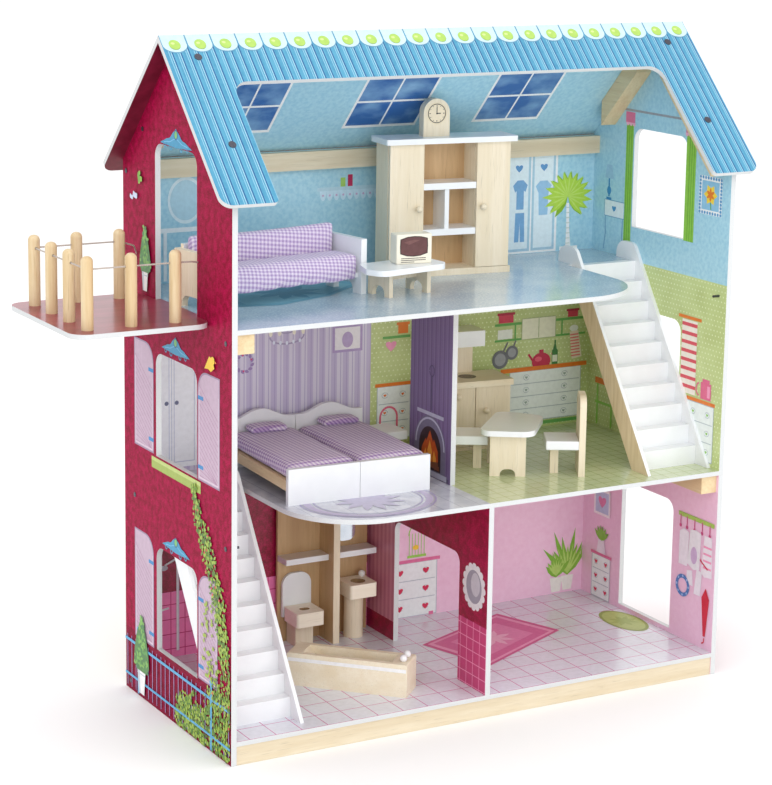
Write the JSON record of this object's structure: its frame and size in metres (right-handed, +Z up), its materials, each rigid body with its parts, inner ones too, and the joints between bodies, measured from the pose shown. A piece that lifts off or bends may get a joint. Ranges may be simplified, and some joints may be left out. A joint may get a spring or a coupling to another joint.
{
  "type": "wooden dollhouse",
  "caption": "Open-front wooden dolls' house with a saddle roof, stairs, side balcony and loose furniture whose cupboard doors open.",
  "frame": {"origin": "on the ground, at the middle of the box around the whole house, its balcony and its roof", "axes": "+Z up, rooms open towards -Y, balcony on the -X side"},
  "size_m": [0.763, 0.298, 0.718],
  "materials": {
    "printed_red": "printed, satin",
    "printed_blue": "printed, satin",
    "printed_lilac": "printed, satin",
    "printed_pink": "printed, satin",
    "printed_plum": "printed, satin",
    "pine": "bare",
    "birch_ply": "varnished",
    "white_lacquer": "gloss",
    "dark_lacquer": "gloss",
    "gingham": "woven",
    "cord": "twisted",
    "steel": "satin",
    "mirror": "polished"
  },
  "bodies": {
    "house": {"left_wall": "printed_red", "right_wall": "printed_red", "back_panel_ground": "printed_pink", "back_panel_middle": "printed_lilac", "back_panel_attic": "printed_blue", "base_floor": "printed_pink", "middle_floor": "printed_lilac", "attic_floor": "printed_blue", "partition_ground": "printed_red", "partition_middle": "printed_lilac", "base_rails": "pine", "support_battens": "pine", "roof_front": "printed_blue", "roof_back": "printed_blue", "lower_stair_stringers": "white_lacquer", "lower_stair_steps": "white_lacquer", "upper_stair_stringers": "white_lacquer", "upper_stair_steps": "white_lacquer", "balcony_plate": "printed_plum", "balcony_posts": "pine", "balcony_cord": "cord", "panel_screws": "steel"},
    "sofa": {"sofa_frame": "white_lacquer", "sofa_seat_cushion": "gingham", "sofa_back_cushion": "gingham"},
    "tv_table": {"tv_table_legs": "birch_ply", "tv_table_top": "white_lacquer"},
    "television": {"television": "dark_lacquer"},
    "wardrobe": {"wardrobe_carcass": "birch_ply", "wardrobe_top": "white_lacquer", "wardrobe_shelves": "white_lacquer"},
    "wardrobe_left_door": {"wardrobe_door_left": "birch_ply"},
    "wardrobe_right_door": {"wardrobe_door_right": "birch_ply"},
    "clock": {"mantel_clock": "birch_ply"},
    "left_bed": {"bed_left_frame": "white_lacquer", "bed_left_blanket": "gingham", "bed_left_pillow": "gingham"},
    "right_bed": {"bed_right_frame": "white_lacquer", "bed_right_blanket": "gingham", "bed_right_pillow": "gingham"},
    "kitchen": {"kitchen_cabinet": "birch_ply", "kitchen_worktop": "white_lacquer", "kitchen_hood": "white_lacquer"},
    "kitchen_left_door": {"kitchen_door_left": "birch_ply"},
    "kitchen_right_door": {"kitchen_door_right": "birch_ply"},
    "dining_table": {"dining_table_legs": "birch_ply", "dining_table_top": "white_lacquer"},
    "left_chair": {"chair_left": "white_lacquer"},
    "right_chair": {"chair_right": "white_lacquer"},
    "stool": {"bedside_stool": "white_lacquer"},
    "bath_unit": {"bath_boards": "birch_ply", "bath_shelves": "white_lacquer", "toilet": "birch_ply", "toilet_lid": "white_lacquer", "washbasin": "birch_ply", "washbasin_tap": "white_lacquer", "bath_mirror": "mirror"},
    "tub": {"bathtub": "birch_ply", "bathtub_taps": "white_lacquer"}
  },
  "joints": [
    {"name": "sofa_lift", "type": "slide", "parent": "house", "child": "sofa", "axis": [0, 0, 1], "range_m": [0, 0.04]},
    {"name": "tv_table_lift", "type": "slide", "parent": "house", "child": "tv_table", "axis": [0, 0, 1], "range_m": [0, 0.03]},
    {"name": "television_lift", "type": "slide", "parent": "tv_table", "child": "television", "axis": [0, 0, 1], "range_m": [0, 0.02]},
    {"name": "wardrobe_lift", "type": "slide", "parent": "house", "child": "wardrobe", "axis": [0, 0, 1], "range_m": [0, 0.003]},
    {"name": "clock_slide", "type": "slide", "parent": "wardrobe", "child": "clock", "axis": [-0.1132, -0.9936, 0], "range_m": [0, 0.01]},
    {"name": "wardrobe_left_door_hinge", "type": "hinge", "parent": "wardrobe", "child": "wardrobe_left_door", "pos_m": [0.04155, 0.05302, 0.52], "axis": [0, 0, -1], "range_deg": [0, 95]},
    {"name": "wardrobe_right_door_hinge", "type": "hinge", "parent": "wardrobe", "child": "wardrobe_right_door", "pos_m": [0.18005, 0.03724, 0.52], "axis": [0, 0, 1], "range_deg": [0, 95]},
    {"name": "left_bed_lift", "type": "slide", "parent": "house", "child": "left_bed", "axis": [0, 0, 1], "range_m": [0, 0.04]},
    {"name": "right_bed_lift", "type": "slide", "parent": "house", "child": "right_bed", "axis": [0, 0, 1], "range_m": [0, 0.04]},
    {"name": "kitchen_lift", "type": "slide", "parent": "house", "child": "kitchen", "axis": [0, 0, 1], "range_m": [0, 0.04]},
    {"name": "kitchen_left_door_hinge", "type": "hinge", "parent": "kitchen", "child": "kitchen_left_door", "pos_m": [0.12303, 0.07359, 0.273], "axis": [0, 0, -1], "range_deg": [0, 80]},
    {"name": "kitchen_right_door_hinge", "type": "hinge", "parent": "kitchen", "child": "kitchen_right_door", "pos_m": [0.20497, 0.06498, 0.273], "axis": [0, 0, 1], "range_deg": [0, 80]},
    {"name": "dining_table_lift", "type": "slide", "parent": "house", "child": "dining_table", "axis": [0, 0, 1], "range_m": [0, 0.04]},
    {"name": "left_chair_slide", "type": "slide", "parent": "house", "child": "left_chair", "axis": [-0.8746, 0.4848, 0], "range_m": [0, 0.02]},
    {"name": "right_chair_slide", "type": "slide", "parent": "house", "child": "right_chair", "axis": [0.8746, -0.4848, 0], "range_m": [0, 0.02]},
    {"name": "stool_lift", "type": "slide", "parent": "house", "child": "stool", "axis": [0, 0, 1], "range_m": [0, 0.03]},
    {"name": "bath_unit_lift", "type": "slide", "parent": "house", "child": "bath_unit", "axis": [0, 0, 1], "range_m": [0, 0.015]},
    {"name": "tub_lift", "type": "slide", "parent": "house", "child": "tub", "axis": [0, 0, 1], "range_m": [0, 0.04]}
  ]
}
